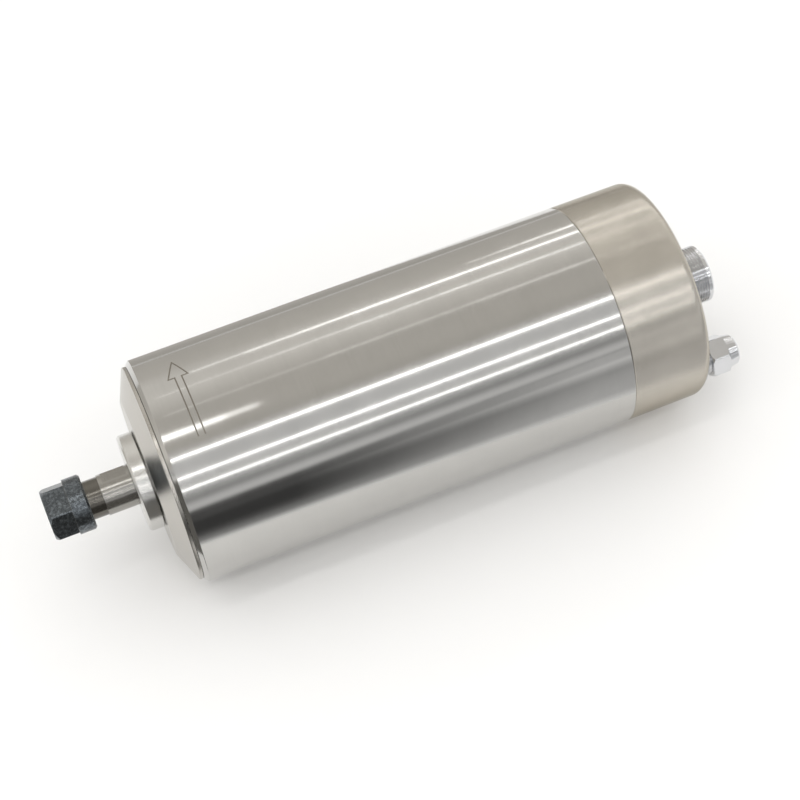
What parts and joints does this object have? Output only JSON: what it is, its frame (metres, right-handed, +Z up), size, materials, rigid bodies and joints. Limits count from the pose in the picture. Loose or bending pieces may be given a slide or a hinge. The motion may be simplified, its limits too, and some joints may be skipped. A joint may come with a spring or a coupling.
{
  "type": "motor spindle",
  "caption": "Water-cooled motor spindle with a polished round body, collet nose in front, and a threaded connector and hose fittings on the rear cover.",
  "frame": {"origin": "on the spindle's axis, where the clamping cylinder begins behind its front chamfer", "axes": "+X runs along the axis from the collet nose to the rear cover; +Z is up and the hose fittings sit below the axis; +Y completes the right-handed frame"},
  "size_m": [0.2473, 0.08, 0.08],
  "materials": {
    "polished_steel": "finely turned and polished, with long sharp highlights",
    "satin_bell": "satin turned",
    "turned_cap": "bright turned",
    "ground_steel": "ground and polished",
    "blackened_steel": "black oxide",
    "blasted_cover": "matt, fine blasted",
    "plated_brass": "nickel plated",
    "contact_brass": "bright",
    "moulded_insert": "moulded",
    "plain_steel": "machined",
    "jacket_aluminium": "machined",
    "seal_rubber": "smooth",
    "core_steel": "stacked sheets",
    "winding_copper": "enamelled wire",
    "lead_rubber": "smooth sleeve",
    "cage_plastic": "moulded"
  },
  "bodies": {
    "housing": {"body_tube": "polished_steel", "front_bell": "satin_bell", "front_bearing_retainer": "plain_steel", "retainer_screws": "blackened_steel", "front_bearing_1_outer_ring": "ground_steel", "front_bearing_2_outer_ring": "ground_steel", "rear_bearing_outer_ring": "ground_steel", "water_jacket": "jacket_aluminium", "jacket_seals": "seal_rubber", "stator_core": "core_steel", "stator_winding": "winding_copper", "rear_bearing_housing": "jacket_aluminium", "preload_disc_spring": "plain_steel", "rear_cover": "blasted_cover", "cover_screws": "blackened_steel", "port_seals": "seal_rubber", "connector_shell": "plated_brass", "connector_lock_nut": "plated_brass", "connector_insert": "moulded_insert", "connector_pins": "contact_brass", "inlet_nipple": "plated_brass", "outlet_nipple": "plated_brass", "phase_leads": "lead_rubber"},
    "spindle": {"spindle_shaft": "ground_steel", "dust_cap": "turned_cap", "bearing_lock_nut": "plain_steel", "rotor_core": "core_steel", "rotor_cage": "jacket_aluminium", "rear_distance_sleeve": "plain_steel", "rear_circlip": "plain_steel", "front_bearing_1_inner_ring": "ground_steel", "front_bearing_2_inner_ring": "ground_steel", "rear_bearing_inner_ring": "ground_steel"},
    "front_ball_set_1": {"front_bearing_1_cage": "cage_plastic", "front_bearing_1_balls": "ground_steel"},
    "front_ball_set_2": {"front_bearing_2_cage": "cage_plastic", "front_bearing_2_balls": "ground_steel"},
    "rear_ball_set": {"rear_bearing_cage": "cage_plastic", "rear_bearing_balls": "ground_steel"},
    "collet": {"spring_collet": "ground_steel"},
    "collet_nut": {"collet_nut": "blackened_steel"},
    "inlet_olive": {"inlet_olive": "contact_brass"},
    "inlet_union_nut": {"inlet_union_nut": "plated_brass"},
    "outlet_olive": {"outlet_olive": "contact_brass"},
    "outlet_union_nut": {"outlet_union_nut": "plated_brass"}
  },
  "joints": [
    {"name": "spindle_spin", "type": "hinge", "parent": "housing", "child": "spindle", "pos_m": [0, 0, 0], "axis": [1, 0, 0], "continuous": true},
    {"name": "front_ball_set_1_spin", "type": "hinge", "parent": "housing", "child": "front_ball_set_1", "pos_m": [0.0025, 0, 0], "axis": [1, 0, 0], "continuous": true},
    {"name": "front_ball_set_2_spin", "type": "hinge", "parent": "housing", "child": "front_ball_set_2", "pos_m": [0.0125, 0, 0], "axis": [1, 0, 0], "continuous": true},
    {"name": "rear_ball_set_spin", "type": "hinge", "parent": "housing", "child": "rear_ball_set", "pos_m": [0.146, 0, 0], "axis": [1, 0, 0], "continuous": true},
    {"name": "collet_slide", "type": "slide", "parent": "spindle", "child": "collet", "axis": [-1, 0, 0], "range_m": [0, 0.0105]},
    {"name": "collet_nut_turn", "type": "hinge", "parent": "collet", "child": "collet_nut", "pos_m": [-0.043, 0, 0], "axis": [-1, 0, 0], "range_deg": [0, 5040]},
    {"name": "inlet_olive_slide", "type": "slide", "parent": "housing", "child": "inlet_olive", "axis": [1, 0, 0], "range_m": [0, 0.0055]},
    {"name": "inlet_union_nut_turn", "type": "hinge", "parent": "inlet_olive", "child": "inlet_union_nut", "pos_m": [0.2043, -0.02093, -0.02093], "axis": [1, 0, 0], "range_deg": [0, 1980]},
    {"name": "outlet_olive_slide", "type": "slide", "parent": "housing", "child": "outlet_olive", "axis": [1, 0, 0], "range_m": [0, 0.0055]},
    {"name": "outlet_union_nut_turn", "type": "hinge", "parent": "outlet_olive", "child": "outlet_union_nut", "pos_m": [0.2043, 0.02093, -0.02093], "axis": [1, 0, 0], "range_deg": [0, 1980]}
  ],
  "couplings": [
    {"joint": "front_ball_set_1_spin", "follows": "spindle_spin", "ratio": 0.40846},
    {"joint": "front_ball_set_2_spin", "follows": "spindle_spin", "ratio": 0.40846},
    {"joint": "rear_ball_set_spin", "follows": "spindle_spin", "ratio": 0.39872},
    {"joint": "collet_slide", "follows": "collet_nut_turn", "m_per_rad": 0.00011937},
    {"joint": "inlet_olive_slide", "follows": "inlet_union_nut_turn", "m_per_rad": 0.00015915},
    {"joint": "outlet_olive_slide", "follows": "outlet_union_nut_turn", "m_per_rad": 0.00015915}
  ]
}
